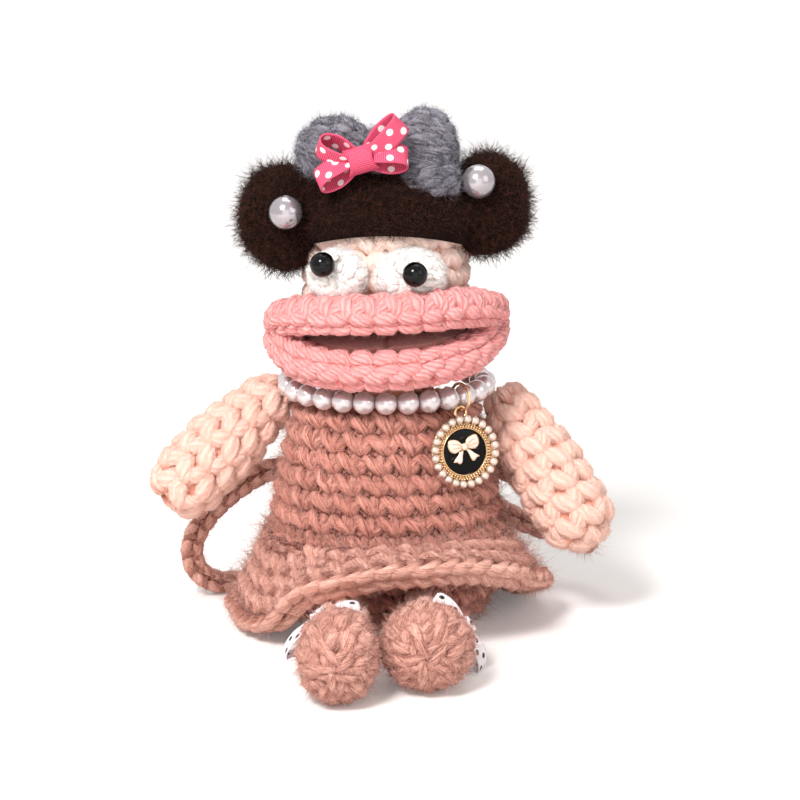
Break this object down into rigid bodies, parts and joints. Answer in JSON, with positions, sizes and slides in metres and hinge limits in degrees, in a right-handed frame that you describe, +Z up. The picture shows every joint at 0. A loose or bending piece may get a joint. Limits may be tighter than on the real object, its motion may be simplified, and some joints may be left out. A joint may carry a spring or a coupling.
{
  "type": "crocheted hand puppet",
  "caption": "Seated crocheted hand puppet with big lips: fingers and thumb open and shut the mouth, head turns and nods, sewn limbs swing, pendant hangs on a pearl necklace.",
  "frame": {"origin": "middle of the flat seat, on the floor the puppet sits on", "axes": "+Z up, -Y the way the puppet faces, +X towards the puppet's own left"},
  "size_m": [0.1434, 0.1431, 0.1621],
  "materials": {
    "dress_mohair": "fuzzy crocheted mohair",
    "skin_yarn": "chunky crocheted chenille",
    "lip_yarn": "chunky crocheted chenille",
    "mouth_lining": "dark knit lining",
    "white_yarn": "brushed crochet",
    "hair_wool": "brushed felted wool",
    "grey_yarn": "brushed crocheted mohair",
    "pink_ribbon": "grosgrain with white dots",
    "dotted_ribbon": "satin with black dots",
    "pearl": "nacre lacquer",
    "black_bead": "polished",
    "gold_metal": "polished",
    "black_enamel": "glossy",
    "white_enamel": "glossy",
    "sewing_thread": "plain",
    "fibre_fill": "loose fill"
  },
  "bodies": {
    "torso": {"dress_bodice": "dress_mohair", "seat_panel": "dress_mohair", "body_stuffing": "fibre_fill", "skirt_ruffle": "dress_mohair", "pearl_necklace": "pearl", "right_hand_loop": "dress_mohair", "left_hand_loop": "dress_mohair"},
    "neck": {"neck_plug": "skin_yarn"},
    "lower_head": {"jaw_shell": "skin_yarn", "lower_lip": "lip_yarn", "lower_mouth_lining": "mouth_lining"},
    "upper_head": {"head_shell": "skin_yarn", "head_stuffing": "fibre_fill", "upper_lip": "lip_yarn", "upper_mouth_lining": "mouth_lining", "right_eye_white": "white_yarn", "left_eye_white": "white_yarn", "right_pupil_bead": "black_bead", "left_pupil_bead": "black_bead", "right_pupil_thread": "sewing_thread", "left_pupil_thread": "sewing_thread", "hair_cap": "hair_wool", "right_hair_bun": "hair_wool", "left_hair_bun": "hair_wool", "right_bun_pearl": "pearl", "left_bun_pearl": "pearl", "right_grey_loop": "grey_yarn", "left_grey_loop": "grey_yarn", "grey_bow_knot": "grey_yarn", "right_ribbon_loops": "pink_ribbon", "left_ribbon_loops": "pink_ribbon", "ribbon_bow_knot": "pink_ribbon"},
    "pendant_ring": {"jump_ring": "gold_metal"},
    "pendant": {"pendant_plate": "gold_metal", "pendant_enamel": "black_enamel", "pendant_pearl_rim": "pearl", "pendant_bow": "white_enamel"},
    "right_arm": {"right_arm_cover": "skin_yarn", "right_arm_stuffing": "fibre_fill"},
    "right_leg": {"right_leg_cover": "skin_yarn", "right_leg_stuffing": "fibre_fill", "right_shoe": "dress_mohair", "right_shoe_bow_outer_loops": "dotted_ribbon", "right_shoe_bow_inner_loops": "dotted_ribbon", "right_shoe_bow_knot": "dotted_ribbon"},
    "left_arm": {"left_arm_cover": "skin_yarn", "left_arm_stuffing": "fibre_fill"},
    "left_leg": {"left_leg_cover": "skin_yarn", "left_leg_stuffing": "fibre_fill", "left_shoe": "dress_mohair", "left_shoe_bow_outer_loops": "dotted_ribbon", "left_shoe_bow_inner_loops": "dotted_ribbon", "left_shoe_bow_knot": "dotted_ribbon"}
  },
  "joints": [
    {"name": "head_turn", "type": "hinge", "parent": "torso", "child": "neck", "pos_m": [0, 0, 0.072], "axis": [0, 0, 1], "range_deg": [-20, 20], "stiffness_Nm_per_rad": 0.3},
    {"name": "head_nod", "type": "hinge", "parent": "neck", "child": "lower_head", "pos_m": [0, 0, 0.072], "axis": [-1, 0, 0], "range_deg": [0, 10], "stiffness_Nm_per_rad": 0.6},
    {"name": "mouth_open", "type": "hinge", "parent": "lower_head", "child": "upper_head", "pos_m": [0, 0.014, 0.0946], "axis": [-1, 0, 0], "range_deg": [-5, 30], "stiffness_Nm_per_rad": 0.6},
    {"name": "right_arm_raise", "type": "hinge", "parent": "torso", "child": "right_arm", "pos_m": [-0.03949, 0.005, 0.067], "axis": [0, 1, 0], "range_deg": [-4, 60], "stiffness_Nm_per_rad": 0.12},
    {"name": "left_arm_raise", "type": "hinge", "parent": "torso", "child": "left_arm", "pos_m": [0.0405, 0.005, 0.063], "axis": [0, -1, 0], "range_deg": [-4, 60], "stiffness_Nm_per_rad": 0.12},
    {"name": "right_leg_drop", "type": "hinge", "parent": "torso", "child": "right_leg", "pos_m": [-0.0134, -0.03488, 0.0126], "axis": [1, 0, 0], "range_deg": [0, 60], "stiffness_Nm_per_rad": 0.2},
    {"name": "left_leg_drop", "type": "hinge", "parent": "torso", "child": "left_leg", "pos_m": [0.012, -0.03531, 0.0126], "axis": [1, 0, 0], "range_deg": [0, 60], "stiffness_Nm_per_rad": 0.2},
    {"name": "ring_swing", "type": "hinge", "parent": "torso", "child": "pendant_ring", "pos_m": [0.02154, -0.01873, 0.0757], "axis": [-0.7687, -0.6396, 0], "range_deg": [0, 45]},
    {"name": "pendant_swing", "type": "hinge", "parent": "pendant_ring", "child": "pendant", "pos_m": [0.02251, -0.0199, 0.07111], "axis": [-0.9272, -0.3746, 0], "range_deg": [0, 20]}
  ]
}
